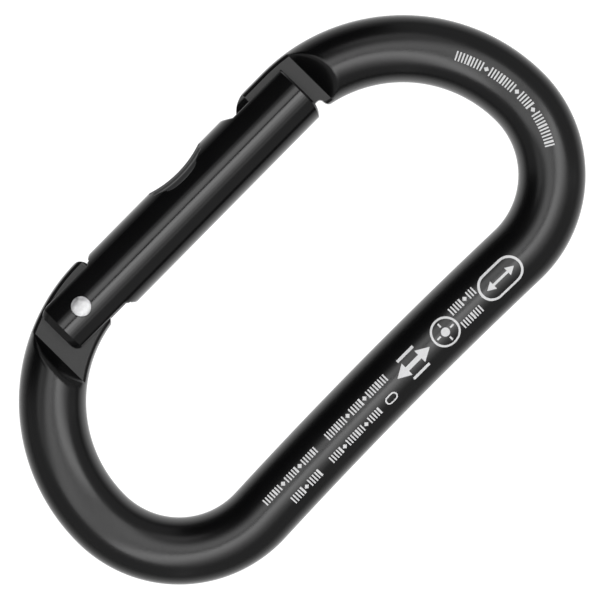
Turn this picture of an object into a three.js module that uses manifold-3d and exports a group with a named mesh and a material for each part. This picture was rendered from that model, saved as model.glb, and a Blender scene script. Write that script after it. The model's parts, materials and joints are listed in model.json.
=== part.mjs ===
// A plain oval carabiner. A bent round bar ends in a hooked nose and a hinge lug. A bar gate turns
// on a rivet through the lug and drops over the nose. A spring and a plunger inside it shut it.
//
// Millimetres. The carabiner lies flat with +Z up, +Y along it towards the nose end and +X from
// the gate to the spine. The origin is below the middle of its outline, on the surface it lies on.

import * as THREE from "three";
import { mergeVertices } from "three/addons/utils/BufferGeometryUtils.js";
import Module from "manifold-3d";

// Overall sizes
const LENGTH = 108; // outside, from crown to crown
const WIDTH = 56; // outside, from the spine to the nose side
const BAR_D = 11; // round bar of the frame
const GATE_D = 11; // round bar of the gate
const SPINE_BEND_R = 18; // centreline radius of the two bends beside the spine
const SPINE_BOW = 0.55; // how far the middle of the spine stands in

// Hinge
const HINGE_FROM_END = 28; // rivet to the outside of the near crown
const GATE_SET_IN = 0.27; // gate axis to the rivet, towards the spine
const RIVET_D = 2.9;
const RIVET_HEAD_D = 3.4;
const RIVET_HEAD_H = 0.5; // height of the flared end
const RIVET_DOME = 0.3;
const RIVET_RECESS = 0.35; // rim of the flared end below the crest of the gate
const TAB_T = 4.4; // milled thickness of the lug and of the nose
const LUG_TOP = 5.5; // above the rivet
const LUG_CORNER_R = 1.7;
const LUG_SHOULDER = 8.5; // below the rivet
const LUG_WALL_RUN = 2.4; // length of the slope from the milled face to the full bar
const EAR_END = 5.75; // below the rivet
const EAR_HALF_WIDTH = 4.35;
const EAR_TOP = 5.35; // where the narrowed ears begin, above the rivet
const EAR_RUN_OUT = 1.4;
const EAR_CORNER_R = 1.1;
const EAR_BEVEL = [0.7, 1.1]; // off the radius and off the length
const FORK_DEPTH = 6.1; // above the rivet

// Nose
const NOSE_TIP_FROM_END = 40.45; // nose tip to the outside of the near crown
const NOSE_SHOULDER_FROM_END = 27.34;
const NOSE_WALL_RUN = 3.3;
const NOSE_TIP_R = 5;
const NOSE_TIP_SINK = 0.8; // how far the tip's flat end cuts off that round
const HEAD_T = 5.7; // thickness of the hooked head
const HEAD_L = 3.25;
const HEAD_CHAMFER = 0.8;
const HEAD_BEVEL = [1.7, 1.5]; // slope of the head's outer edge, across and down
const NECK_STEP = 1.26; // from the milled shoulder down to where the neck narrows
const NECK_CORNER_R = 0.7;
const SLOT_WALL = 1.75; // gate wall left behind the slot
const GATE_NOSE_FLAT = 4.35; // gate axis to the flat on its outer side
const GATE_NOSE_FLAT_L = 11.1;
const FLAT_RUN_OUT = 1.7;
const GATE_END_GAP = 2.46; // gate end to the milled shoulder
const GATE_EDGE = 0.35; // chamfer round the nose end of the gate
const GATE_HEEL = [1.9, 0.85]; // slope on the inner corner of the nose end

// Thumb hollow
const THUMB_CENTRE_Y = 0.5; // from the middle of the carabiner
const THUMB_DEPTH = 1;
const THUMB_R = 18;
const THUMB_CROWN_R = 7.7;

// Spring and plunger
const PLUNGER_OFFSET = 1.8; // plunger axis to the rivet, towards the spine
const PLUNGER_TIP_R = 1.2;
const COLLAR_D = 4;
const COLLAR_T = 1.2;
const COLLAR_LIFT = 1.6; // from the fork's floor up to the collar
const PILOT_D = 2;
const PILOT_L = 1.6;
const BORE_DEPTH = 11.5;
const CAM_START = 3.2; // cam face above the rivet, under the plunger, gate shut
const CAM_SWEEP = 0.78; // radians of gate swing that the cam face serves
const WIRE_D = 0.8;
const SPRING_D = 3.8; // outside
const SPRING_TURNS = 6.5;

// Clearances
const RUNNING_FIT = 0.05; // radial, where the rivet turns in the lug
const PRESS_GAP = 0.02; // radial, where the rivet sits in the ears
const BORE_FIT = 0.08; // radial, collar in its bore
const SIDE_GAP = 0.2; // lug or nose to each wall of its slot
const NOSE_GAP = 0.25; // round the nose inside the gate
const CAM_GAP = 0.2; // plunger to cam face
const SEAT_GAP = 0.1; // spring to what it bears on

// Sides of round shapes
const BAR_SIDES = 32;
const SMALL_SIDES = 24;

// Worked out
const BAR_R = BAR_D / 2;
const GATE_R = GATE_D / 2;
const MID_Z = Math.max(BAR_R, GATE_R);
const OVER = 1; // how far a cutter runs past what it cuts
const GATE_BEND_R = WIDTH - BAR_D - SPINE_BEND_R;
const BEND_X = WIDTH / 2 - BAR_R - SPINE_BEND_R;
const CROWN_Y = LENGTH / 2 - BAR_R;
const SPINE_BEND_Y = CROWN_Y - SPINE_BEND_R;
const GATE_BEND_Y = CROWN_Y - GATE_BEND_R;
const BOW_CHORD = SPINE_BEND_Y ** 2 + (SPINE_BEND_R - SPINE_BOW) ** 2 - SPINE_BEND_R ** 2;
const BOW_R = BOW_CHORD / (2 * SPINE_BOW);
const BOW_ANGLE = Math.asin(SPINE_BEND_Y / (BOW_R + SPINE_BEND_R));
const PIVOT_Y = HINGE_FROM_END - LENGTH / 2;
const PIVOT_X = gateSideX(PIVOT_Y);
const GATE_X = PIVOT_X + GATE_SET_IN;
const NOSE_TIP_Y = LENGTH / 2 - NOSE_TIP_FROM_END;
const NOSE_SHOULDER_Y = LENGTH / 2 - NOSE_SHOULDER_FROM_END;
const NECK_INNER_X = GATE_X + GATE_R - SLOT_WALL - NOSE_GAP;
const GATE_END = NOSE_SHOULDER_Y - GATE_END_GAP - PIVOT_Y;
const COLLAR_Y = FORK_DEPTH + COLLAR_LIFT;
const SPRING_Y = COLLAR_Y + COLLAR_T + SEAT_GAP;
const SPRING_L = FORK_DEPTH + BORE_DEPTH - SEAT_GAP - SPRING_Y;

const wasm = await Module();
wasm.setup();

// ---- centreline of the bar ----

// Where the bar's centreline lies on the gate side, at a height y along the carabiner.
function gateSideX(y) {
  const past = Math.max(0, Math.abs(y) - GATE_BEND_Y);
  return BEND_X - Math.sqrt(GATE_BEND_R ** 2 - past ** 2);
}

// A chain of straight and round stretches in one plane, each with its own number of steps.
class StretchChain extends THREE.Curve {
  constructor(x, y, heading, stretches) {
    super();
    this.steps = 0;
    this.stretches = [];
    for (const { length, turn, steps } of stretches) {
      const stretch = { x, y, heading, length, turn, steps };
      this.stretches.push(stretch);
      this.steps += steps;
      [x, y, heading] = along(stretch, 1);
    }
  }

  place(t) {
    let left = t * this.steps;
    const last = this.stretches.at(-1);
    for (const stretch of this.stretches) {
      if (left <= stretch.steps || stretch === last) return along(stretch, left / stretch.steps);
      left -= stretch.steps;
    }
  }

  getPointAt(t, target = new THREE.Vector3()) {
    const [x, y] = this.place(t);
    return target.set(x, y, 0);
  }

  getTangentAt(t, target = new THREE.Vector3()) {
    const heading = this.place(t)[2];
    return target.set(Math.cos(heading), Math.sin(heading), 0);
  }
}

// Position and heading a fraction of the way along one stretch.
function along({ x, y, heading, length, turn }, fraction) {
  if (turn === 0) {
    const gone = length * fraction;
    return [x + gone * Math.cos(heading), y + gone * Math.sin(heading), heading];
  }
  const radius = length / turn;
  const end = heading + turn * fraction;
  return [
    x + radius * (Math.sin(end) - Math.sin(heading)),
    y - radius * (Math.cos(end) - Math.cos(heading)),
    end,
  ];
}

function arc(radius, turn, steps) {
  return { length: radius * Math.abs(turn), turn, steps };
}

function straight(length, steps) {
  return { length, turn: 0, steps };
}

// ---- solids ----

// Turns a closed three.js geometry into a solid that can be joined and cut.
function solid(geometry) {
  const bare = geometry.clone();
  for (const name of Object.keys(bare.attributes)) {
    if (name !== "position") bare.deleteAttribute(name);
  }
  const merged = mergeVertices(bare, 1e-5);
  const corners = Array.from(merged.index.array);
  const triVerts = [];
  for (let i = 0; i < corners.length; i += 3) {
    const [a, b, c] = corners.slice(i, i + 3);
    if (a !== b && b !== c && c !== a) triVerts.push(a, b, c);
  }
  const vertProperties = new Float32Array(merged.attributes.position.array);
  const build = (tris) =>
    new wasm.Manifold(
      new wasm.Mesh({ numProp: 3, vertProperties, triVerts: new Uint32Array(tris) }),
    );
  const made = build(triVerts);
  return made.volume() > 0 ? made : build(triVerts.reverse());
}

function geometryOf(made) {
  const mesh = made.getMesh();
  const geometry = new THREE.BufferGeometry();
  geometry.setAttribute("position", new THREE.BufferAttribute(mesh.vertProperties, 3));
  geometry.setIndex(new THREE.BufferAttribute(mesh.triVerts, 1));
  geometry.computeVertexNormals();
  return geometry;
}

// A flat outline seen from above, made solid between two heights.
function plate(shape, low, high) {
  const geometry = new THREE.ExtrudeGeometry(shape, {
    depth: high - low,
    bevelEnabled: false,
    curveSegments: 8,
  });
  return solid(geometry.translate(0, 0, low));
}

// A flat outline seen from the side, drawn as (y, z), made solid from one x to another.
function sidePlate(points, low, high) {
  const shape = new THREE.Shape(points.map(([y, z]) => new THREE.Vector2(y, z)));
  const geometry = new THREE.ExtrudeGeometry(shape, { depth: high - low, bevelEnabled: false });
  const toSide = new THREE.Matrix4().makeBasis(
    new THREE.Vector3(0, 1, 0),
    new THREE.Vector3(0, 0, 1),
    new THREE.Vector3(1, 0, 0),
  );
  return solid(geometry.translate(0, 0, low).applyMatrix4(toSide));
}

function box(lowX, highX, lowY, highY, lowZ, highZ) {
  const geometry = new THREE.BoxGeometry(highX - lowX, highY - lowY, highZ - lowZ);
  geometry.translate((lowX + highX) / 2, (lowY + highY) / 2, (lowZ + highZ) / 2);
  return solid(geometry);
}

// A turned shape, its profile given as (radius, height) from one end of the axis to the other.
function turned(profile, sides) {
  const points = profile.map(([radius, height]) => new THREE.Vector2(radius, height));
  return new THREE.LatheGeometry(points, sides);
}

function rod(radius, low, high, sides = SMALL_SIDES) {
  return turned([[0, low], [radius, low], [radius, high], [0, high]], sides);
}

// Points on part of a circle, from one angle to another.
function arcPoints(x, y, radius, from, to, steps) {
  const points = [];
  for (let i = 0; i <= steps; i++) {
    const angle = from + ((to - from) * i) / steps;
    points.push([x + radius * Math.cos(angle), y + radius * Math.sin(angle)]);
  }
  return points;
}

function outline(points) {
  return new THREE.Shape(points.map(([x, y]) => new THREE.Vector2(x, y)));
}

// Cuts a square corner round. The corner is at (x, y), and the material lies towards (dx, dy).
function cornerCut(x, y, dx, dy, radius, low, high) {
  const points = [[x - dx * OVER, y - dy * OVER], [x + dx * radius, y - dy * OVER]];
  const steps = 6;
  for (let i = 0; i <= steps; i++) {
    const angle = ((Math.PI / 2) * i) / steps;
    const across = radius * (1 - Math.sin(angle));
    const up = radius * (1 - Math.cos(angle));
    points.push([x + dx * across, y + dy * up]);
  }
  points.push([x - dx * OVER, y + dy * radius]);
  return plate(outline(points), low, high);
}

// ---- frame ----

function bentBar() {
  const crownTurn = Math.PI / 2;
  const spineTurn = Math.PI / 2 + BOW_ANGLE;
  const hingeRun = Math.max(0, PIVOT_Y + LUG_TOP + GATE_BEND_Y) + OVER;
  const noseRun = Math.max(0, GATE_BEND_Y - NOSE_TIP_Y) + OVER;
  const path = new StretchChain(BEND_X - GATE_BEND_R, hingeRun - GATE_BEND_Y, -Math.PI / 2, [
    straight(hingeRun, 1),
    arc(GATE_BEND_R, crownTurn, 16),
    arc(SPINE_BEND_R, spineTurn, 12),
    arc(BOW_R, -2 * BOW_ANGLE, 10),
    arc(SPINE_BEND_R, spineTurn, 12),
    arc(GATE_BEND_R, crownTurn, 16),
    straight(noseRun, 2),
  ]);
  const section = new THREE.Shape().absarc(0, 0, BAR_R, 0, 2 * Math.PI);
  return solid(
    new THREE.ExtrudeGeometry(section, {
      extrudePath: path,
      steps: path.steps,
      curveSegments: BAR_SIDES / 2,
    }),
  );
}

// What the mill takes off one face of the nose: the head stays thicker than the neck.
function noseMill(side) {
  const neck = TAB_T / 2;
  const head = HEAD_T / 2;
  const tip = NOSE_TIP_Y;
  const high = BAR_R + OVER;
  const slope = NOSE_WALL_RUN / (BAR_R - neck);
  const profile = [
    [tip - 2 * OVER, head - HEAD_CHAMFER],
    [tip, head - HEAD_CHAMFER],
    [tip + HEAD_CHAMFER, head],
    [tip + HEAD_L, head],
    [tip + HEAD_L, neck],
    [NOSE_SHOULDER_Y, neck],
    [NOSE_SHOULDER_Y + slope * (high - neck), high],
    [tip - 2 * OVER, high],
  ];
  return sidePlate(profile.map(([y, z]) => [y, side * z]), -WIDTH / 2 - OVER, 0);
}

function lugMill(side) {
  const face = TAB_T / 2;
  const high = BAR_R + OVER;
  const slope = LUG_WALL_RUN / (BAR_R - face);
  const shoulder = PIVOT_Y - LUG_SHOULDER;
  const profile = [
    [PIVOT_Y + LUG_TOP + 2 * OVER, face],
    [shoulder, face],
    [shoulder - slope * (high - face), high],
    [PIVOT_Y + LUG_TOP + 2 * OVER, high],
  ];
  return sidePlate(profile.map(([y, z]) => [y, side * z]), -WIDTH / 2 - OVER, 0);
}

// The slope along the outer edge of the head.
function headBevel(side) {
  const [across, down] = HEAD_BEVEL;
  const outer = -WIDTH / 2;
  const face = HEAD_T / 2;
  const slope = down / across;
  const profile = [
    [outer + across, face],
    [outer - OVER, face - down - slope * OVER],
    [outer - OVER, BAR_R],
    [outer + across, BAR_R],
  ];
  const shape = outline(profile.map(([x, z]) => [x, -side * z]));
  const length = HEAD_L + 2 * OVER;
  const geometry = new THREE.ExtrudeGeometry(shape, { depth: length, bevelEnabled: false });
  geometry.rotateX(-Math.PI / 2).translate(0, NOSE_TIP_Y + HEAD_L - length, 0);
  return solid(geometry);
}

// The inner edge of the neck is narrowed so that the gate's wall passes behind it.
function neckCut() {
  const floor = NOSE_SHOULDER_Y - NECK_STEP;
  const edge = NECK_INNER_X;
  const corner = arcPoints(
    edge + NECK_CORNER_R, floor - NECK_CORNER_R, NECK_CORNER_R, Math.PI, Math.PI / 2, 6,
  );
  const points = [[edge, NOSE_TIP_Y - 2 * OVER], ...corner];
  points.push([edge + BAR_D, floor], [edge + BAR_D, NOSE_TIP_Y - 2 * OVER]);
  return plate(outline(points), -BAR_R - OVER, BAR_R + OVER);
}

// The notch for the plunger's ball and the cam face beside it, about the rivet. The cam face is the
// involute of the circle that the plunger's axis touches, so the plunger rises in step with the
// gate's swing and always bears straight down its own axis.
function camCut() {
  const seat = PLUNGER_TIP_R + CAM_GAP;
  const top = LUG_TOP + 2 * OVER;
  const points = [[PLUNGER_OFFSET - seat, top]];
  points.push(
    ...arcPoints(PLUNGER_OFFSET, CAM_START + seat, seat, Math.PI, 1.5 * Math.PI, 8),
  );
  const steps = 12;
  for (let i = 1; i <= steps; i++) {
    const swing = (CAM_SWEEP * i) / steps;
    const rise = CAM_START + PLUNGER_OFFSET * swing;
    points.push([
      PLUNGER_OFFSET * Math.cos(swing) + rise * Math.sin(swing),
      rise * Math.cos(swing) - PLUNGER_OFFSET * Math.sin(swing),
    ]);
  }
  const [endX, endY] = points.at(-1);
  const runOff = BAR_R;
  points.push([endX + runOff * Math.cos(CAM_SWEEP), endY - runOff * Math.sin(CAM_SWEEP)]);
  points.push([endX + runOff * Math.cos(CAM_SWEEP), top]);
  return plate(outline(points), -BAR_R, BAR_R).translate([PIVOT_X, PIVOT_Y, 0]);
}

function frameSolid() {
  const low = -BAR_R - OVER;
  const high = BAR_R + OVER;
  const outerX = -WIDTH / 2;
  const lugTop = PIVOT_Y + LUG_TOP;
  const aboveLug = box(outerX - OVER, 0, lugTop, lugTop + 3 * OVER, low, high);
  const belowNose = box(outerX - OVER, 0, NOSE_TIP_Y - 3 * OVER, NOSE_TIP_Y, low, high);
  const boreR = RIVET_D / 2 + RUNNING_FIT;
  const bore = solid(rod(boreR, low, high).rotateX(Math.PI / 2)).translate([PIVOT_X, PIVOT_Y, 0]);
  const cuts = [
    aboveLug,
    belowNose,
    noseMill(1),
    noseMill(-1),
    headBevel(1),
    headBevel(-1),
    lugMill(1),
    lugMill(-1),
    neckCut(),
    camCut(),
    bore,
    cornerCut(outerX, lugTop, 1, -1, LUG_CORNER_R, low, high),
    cornerCut(outerX, NOSE_TIP_Y - NOSE_TIP_SINK, 1, 1, NOSE_TIP_R, low, high),
    cornerCut(NECK_INNER_X, NOSE_TIP_Y, -1, 1, NECK_CORNER_R, low, high),
  ];
  return cuts.reduce((left, cut) => left.subtract(cut), bentBar());
}

// ---- gate, about the rivet ----

// One flat on the side of the gate with a sloping run-out, as a region seen from above.
function sideFlat(side, distance, from, to, runOut) {
  const flat = GATE_SET_IN + side * distance;
  const clear = GATE_SET_IN + side * (GATE_R + OVER);
  const slope = (runOut / (GATE_R - distance)) * (GATE_R + OVER - distance);
  const ramp = from + Math.sign(from - to) * slope;
  const points = [[flat, to], [flat, from], [clear, ramp], [clear, to]];
  return plate(outline(points), -GATE_R - OVER, GATE_R + OVER);
}

// The thumb hollow is cut by a wheel that is narrowest at its middle, so its floor stays crowned.
function thumbCut() {
  const steps = 8;
  const reach = GATE_R + OVER;
  const profile = [[0, -reach]];
  for (let i = 0; i <= steps; i++) {
    const z = reach * ((2 * i) / steps - 1);
    profile.push([THUMB_R + THUMB_CROWN_R - Math.sqrt(THUMB_CROWN_R ** 2 - z ** 2), z]);
  }
  profile.push([0, reach]);
  const wheel = turned(profile, 96).rotateX(Math.PI / 2);
  const x = GATE_SET_IN - GATE_R + THUMB_DEPTH - THUMB_R;
  return solid(wheel).translate([x, THUMB_CENTRE_Y - PIVOT_Y, 0]);
}

// The slot that drops over the nose: a narrow part for the neck and a wider one for its head.
function noseSlot() {
  const back = NECK_INNER_X + NOSE_GAP - PIVOT_X;
  const open = -GATE_R - 2 * OVER;
  const tip = NOSE_TIP_Y - PIVOT_Y;
  const step = tip + HEAD_L + NOSE_GAP;
  const neck = TAB_T / 2 + SIDE_GAP;
  const head = HEAD_T / 2 + NOSE_GAP;
  const narrow = box(open, back, step - OVER / 2, GATE_END + OVER, -neck, neck);
  const wide = box(open, back, tip - 2 * NOSE_GAP, step, -head, head);
  return narrow.add(wide);
}

function rivetHole() {
  const shank = RIVET_D / 2 + PRESS_GAP;
  const head = RIVET_HEAD_D / 2 + PRESS_GAP;
  const rim = GATE_R - RIVET_RECESS;
  const under = rim - RIVET_HEAD_H;
  const top = GATE_R + OVER;
  const profile = [
    [0, -top], [head, -top], [head, -rim], [shank, -under],
    [shank, under], [head, rim], [head, top], [0, top],
  ];
  return solid(turned(profile, SMALL_SIDES).rotateX(Math.PI / 2));
}

function springBore() {
  const radius = COLLAR_D / 2 + BORE_FIT;
  const bore = rod(radius, FORK_DEPTH - OVER, FORK_DEPTH + BORE_DEPTH);
  return solid(bore).translate([PLUNGER_OFFSET, 0, 0]);
}

// The inner corner of the nose end slopes away, so that it passes the frame as the gate swings.
function heelCut() {
  const [across, down] = GATE_HEEL;
  const inner = GATE_SET_IN + GATE_R;
  const slope = down / across;
  const points = [
    [inner - across, GATE_END],
    [inner + OVER, GATE_END - down - slope * OVER],
    [inner + OVER, GATE_END + OVER],
    [inner - across, GATE_END + OVER],
  ];
  return plate(outline(points), -GATE_R - OVER, GATE_R + OVER);
}

function gateSolid() {
  const [bevelIn, bevelUp] = EAR_BEVEL;
  const profile = [
    [0, -EAR_END],
    [GATE_R - bevelIn, -EAR_END],
    [GATE_R, bevelUp - EAR_END],
    [GATE_R, GATE_END - GATE_EDGE],
    [GATE_R - GATE_EDGE, GATE_END],
    [0, GATE_END],
  ];
  const bar = solid(turned(profile, BAR_SIDES)).translate([GATE_SET_IN, 0, 0]);
  const forkHalf = TAB_T / 2 + SIDE_GAP;
  const wide = GATE_R + 2 * OVER;
  const fork = box(-wide, wide, -EAR_END - OVER, FORK_DEPTH, -forkHalf, forkHalf);
  const earInner = GATE_SET_IN + EAR_HALF_WIDTH;
  const flatFrom = GATE_END - GATE_NOSE_FLAT_L;
  const cuts = [
    fork,
    sideFlat(-1, EAR_HALF_WIDTH, EAR_TOP, -EAR_END - OVER, EAR_RUN_OUT),
    sideFlat(1, EAR_HALF_WIDTH, EAR_TOP, -EAR_END - OVER, EAR_RUN_OUT),
    sideFlat(-1, GATE_NOSE_FLAT, flatFrom, GATE_END + OVER, FLAT_RUN_OUT),
    cornerCut(earInner, -EAR_END, -1, 1, EAR_CORNER_R, -GATE_R - OVER, GATE_R + OVER),
    heelCut(),
    thumbCut(),
    noseSlot(),
    rivetHole(),
    springBore(),
  ];
  return cuts.reduce((left, cut) => left.subtract(cut), bar);
}

// ---- rivet, plunger and spring, about the rivet ----

function rivetGeometry() {
  const shank = RIVET_D / 2;
  const head = RIVET_HEAD_D / 2;
  const rim = GATE_R - RIVET_RECESS;
  const under = rim - RIVET_HEAD_H;
  const steps = 4;
  const end = [[shank, under], [head, rim]];
  for (let i = 1; i <= steps; i++) {
    const angle = ((Math.PI / 2) * i) / steps;
    end.push([i === steps ? 0 : head * Math.cos(angle), rim + RIVET_DOME * Math.sin(angle)]);
  }
  const mirrored = end.map(([radius, z]) => [radius, -z]).reverse();
  return turned([...mirrored, ...end], SMALL_SIDES).rotateX(Math.PI / 2);
}

function plungerGeometry() {
  const tip = CAM_START + CAM_GAP;
  const steps = 5;
  const profile = [];
  for (let i = 0; i <= steps; i++) {
    const angle = ((Math.PI / 2) * i) / steps;
    profile.push([
      PLUNGER_TIP_R * Math.sin(angle),
      tip + PLUNGER_TIP_R * (1 - Math.cos(angle)),
    ]);
  }
  profile.push(
    [PLUNGER_TIP_R, COLLAR_Y],
    [COLLAR_D / 2, COLLAR_Y],
    [COLLAR_D / 2, COLLAR_Y + COLLAR_T],
    [PILOT_D / 2, COLLAR_Y + COLLAR_T],
    [PILOT_D / 2, COLLAR_Y + COLLAR_T + PILOT_L],
    [0, COLLAR_Y + COLLAR_T + PILOT_L],
  );
  return turned(profile, SMALL_SIDES).translate(PLUNGER_OFFSET, 0, 0);
}

// The centreline of the spring's wire.
class Helix extends THREE.Curve {
  getPoint(t, target = new THREE.Vector3()) {
    const angle = 2 * Math.PI * SPRING_TURNS * t;
    const radius = (SPRING_D - WIRE_D) / 2;
    const height = SPRING_Y + WIRE_D / 2 + (SPRING_L - WIRE_D) * t;
    const x = PLUNGER_OFFSET + radius * Math.cos(angle);
    return target.set(x, height, radius * Math.sin(angle));
  }
}

function springGeometry() {
  const wireR = (WIRE_D / 2) * 0.96; // keeps the tilted wire inside the spring's length
  const section = new THREE.Shape().absarc(0, 0, wireR, 0, 2 * Math.PI);
  return new THREE.ExtrudeGeometry(section, {
    extrudePath: new Helix(),
    steps: Math.round(SPRING_TURNS * 14),
    curveSegments: 3,
  });
}

// ---- assembly ----

const BLACK_BAR = { color: 0x202122, roughness: 0.55, metalness: 0.7 };
const BLACK_GATE = { color: 0x1b1c1d, roughness: 0.35, metalness: 0.7 };
const BRIGHT_STEEL = { color: 0xc9cacc, roughness: 0.25, metalness: 1 };
const SPRING_STEEL = { color: 0x9b9da0, roughness: 0.35, metalness: 1 };

function piece(name, geometry, finish) {
  const mesh = new THREE.Mesh(geometry, new THREE.MeshStandardMaterial(finish));
  mesh.name = name;
  return mesh;
}

const swinging = new THREE.Group();
swinging.position.set(PIVOT_X, PIVOT_Y, 0);
swinging.add(
  piece("gate", geometryOf(gateSolid()), BLACK_GATE),
  piece("hinge_rivet", geometryOf(solid(rivetGeometry())), BRIGHT_STEEL),
  piece("spring_plunger", geometryOf(solid(plungerGeometry())), BRIGHT_STEEL),
  piece("gate_spring", geometryOf(solid(springGeometry())), SPRING_STEEL),
);

const carabiner = new THREE.Group();
carabiner.position.set(0, 0, MID_Z);
carabiner.add(piece("frame_bar", geometryOf(frameSolid()), BLACK_BAR), swinging);

export default carabiner;
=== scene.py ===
# %% [markdown]
# # A black oval carabiner
# A climber clips this ring of aluminium bar to ropes, slings and anchors. It has five pieces: the
# bent bar, the gate that closes it, the rivet the gate turns on, and a spring with a plunger inside
# the gate that snap it shut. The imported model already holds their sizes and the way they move.
# This script makes the fine surfaces and the finishes around it, and everything stays in its frame.

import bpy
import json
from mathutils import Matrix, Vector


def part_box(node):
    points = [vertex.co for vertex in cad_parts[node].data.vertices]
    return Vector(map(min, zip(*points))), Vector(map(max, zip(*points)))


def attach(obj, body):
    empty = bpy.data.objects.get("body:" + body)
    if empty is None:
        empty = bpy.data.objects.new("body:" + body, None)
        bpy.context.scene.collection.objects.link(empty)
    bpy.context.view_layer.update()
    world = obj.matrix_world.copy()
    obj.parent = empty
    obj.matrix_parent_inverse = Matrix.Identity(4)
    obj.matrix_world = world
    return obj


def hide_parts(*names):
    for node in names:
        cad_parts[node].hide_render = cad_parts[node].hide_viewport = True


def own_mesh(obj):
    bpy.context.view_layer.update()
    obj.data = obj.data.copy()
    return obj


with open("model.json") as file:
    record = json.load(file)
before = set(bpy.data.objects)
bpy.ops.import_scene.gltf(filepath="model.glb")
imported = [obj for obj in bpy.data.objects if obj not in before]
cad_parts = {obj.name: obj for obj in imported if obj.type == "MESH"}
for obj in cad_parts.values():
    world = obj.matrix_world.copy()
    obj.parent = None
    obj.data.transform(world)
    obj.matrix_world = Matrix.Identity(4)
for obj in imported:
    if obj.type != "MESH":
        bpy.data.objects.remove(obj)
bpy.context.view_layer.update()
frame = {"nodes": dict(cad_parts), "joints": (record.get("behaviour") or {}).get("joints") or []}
print("pieces in the packed model:", sorted(frame["nodes"]))

# %% [markdown]
# The modelling below is done in millimetres, about the middle plane of the bar, because those are
# the sizes on a maker's drawing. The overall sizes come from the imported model. A piece is scaled to
# metres and lifted to its height only when it is finished.

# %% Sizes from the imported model
import json
import math

import bmesh
import bpy
from mathutils import Matrix, Vector, noise

MM = 0.001


def node_box(node):
    return [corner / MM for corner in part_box(node)]


bar_low, bar_high = node_box("frame_bar")
gate_low, gate_high = node_box("gate")
hinge = next(joint for joint in frame["joints"] if joint["name"] == "gate_hinge")
LENGTH = bar_high.y - bar_low.y
OUTER_X = bar_low.x
BAR_R = (bar_high.z - bar_low.z) / 2
MID_Z = (bar_high.z + bar_low.z) / 2
PIVOT_X, PIVOT_Y = [place / MM for place in hinge["pos_m"][:2]]
GATE_X = gate_high.x - BAR_R
print(f"outside length {LENGTH:.1f} mm, bar {2 * BAR_R:.1f} mm, rivet at y {PIVOT_Y:.1f} mm")

# %% [markdown]
# ## Camera, floor and light
# The carabiner lies on a white table and is seen from straight above, turned so that its long axis
# runs up to the right. A long lens far away keeps both ends of the bar the same thickness.

# %% Camera
VIEW_WIDTH = 97.96 * MM
CAMERA_HEIGHT = 850 * MM
CAMERA_TURN = math.radians(44.64)
SIDE_STEP = 1.5 * MM
UP_STEP = -1.894 * MM

scene = bpy.context.scene
camera_data = bpy.data.cameras.new("camera")
camera = bpy.data.objects.new("camera", camera_data)
scene.collection.objects.link(camera)
scene.camera = camera
to_right = Vector((math.cos(CAMERA_TURN), math.sin(CAMERA_TURN), 0))
to_top = Vector((-math.sin(CAMERA_TURN), math.cos(CAMERA_TURN), 0))
camera.location = SIDE_STEP * to_right + UP_STEP * to_top
camera.location.z = CAMERA_HEIGHT + MID_Z * MM
camera.rotation_euler = (0, 0, CAMERA_TURN)
camera_data.lens = camera_data.sensor_width * CAMERA_HEIGHT / VIEW_WIDTH
print(f"camera {CAMERA_HEIGHT:.2f} m above the bar, lens {camera_data.lens:.0f} mm")

# %% [markdown]
# A black object shows only what it mirrors, so the lights decide how it looks. A large softbox hangs
# overhead. It is brightest a little right of its middle and fades towards both sides, with a slit
# left for the camera. Two smaller boxes hang over the left corners, and dim panels that reach a
# little below the bar stand to the right and at both ends. The left side stays dark, which gives
# each bar its black flank. The fade is made of strips side by side, each with its own brightness,
# and the finish of the metal blurs their borders away.

# %% Softboxes
LIGHT_HEIGHT = 1.2
OVERHEAD_LENGTH = 2.4
EMITTED_SHARE = 4.0
# Each strip: its two edges, in metres to the right of the carabiner, and its brightness.
STRIPS = (
    (-0.62, -0.42, 0.4),
    (-0.42, -0.3, 1.0),
    (-0.3, 0.03, 1.9),
    (0.15, 0.42, 3.5),
    (0.42, 0.66, 2.4),
    (0.66, 0.95, 1.3),
    (0.95, 1.4, 0.6),
)
CORNER_AWAY = (-0.8, 0.85)
CORNER_SIZE = (0.6, 0.8)
CORNER_BRIGHTNESS = 0.75
PANEL_AWAY = 1.4
PANEL_SIZE = (3.0, 1.4)
PANEL_LOW = -0.04
PANEL_BRIGHTNESS = 0.25
DARK_ROOM = (0.012, 0.012, 0.013, 1)


def softbox(name, centre, aim, size, radiance):
    """A rectangular light. Its power follows from the brightness that its face should have."""
    data = bpy.data.lights.new(name, "AREA")
    data.shape = "RECTANGLE"
    data.size, data.size_y = size
    data.energy = radiance * size[0] * size[1] * EMITTED_SHARE
    light = bpy.data.objects.new(name, data)
    light.location = centre
    light.rotation_euler = (Vector(aim) - Vector(centre)).to_track_quat("-Z", "Y").to_euler()
    scene.collection.objects.link(light)
    print(f"{name}: {size[0]:.2f} x {size[1]:.2f} m, {data.energy:.1f} W")


for number, (near, far, brightness) in enumerate(STRIPS):
    middle = (near + far) / 2
    strip = (far - near, OVERHEAD_LENGTH)
    softbox(f"strip_{number}", (middle, 0, LIGHT_HEIGHT), (middle, 0, 0), strip, brightness)
for end, side in (("nose", 1), ("hinge", -1)):
    x, y = CORNER_AWAY[0], side * CORNER_AWAY[1]
    softbox(f"corner_{end}", (x, y, LIGHT_HEIGHT), (x, y, 0), CORNER_SIZE, CORNER_BRIGHTNESS)
panel_z = PANEL_LOW + PANEL_SIZE[1] / 2
for side, (across, along) in {"right": (1, 0), "nose_end": (0, 1), "hinge_end": (0, -1)}.items():
    place = (across * PANEL_AWAY, along * PANEL_AWAY, panel_z)
    softbox(f"panel_{side}", place, (0, 0, panel_z), PANEL_SIZE, PANEL_BRIGHTNESS)

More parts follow.
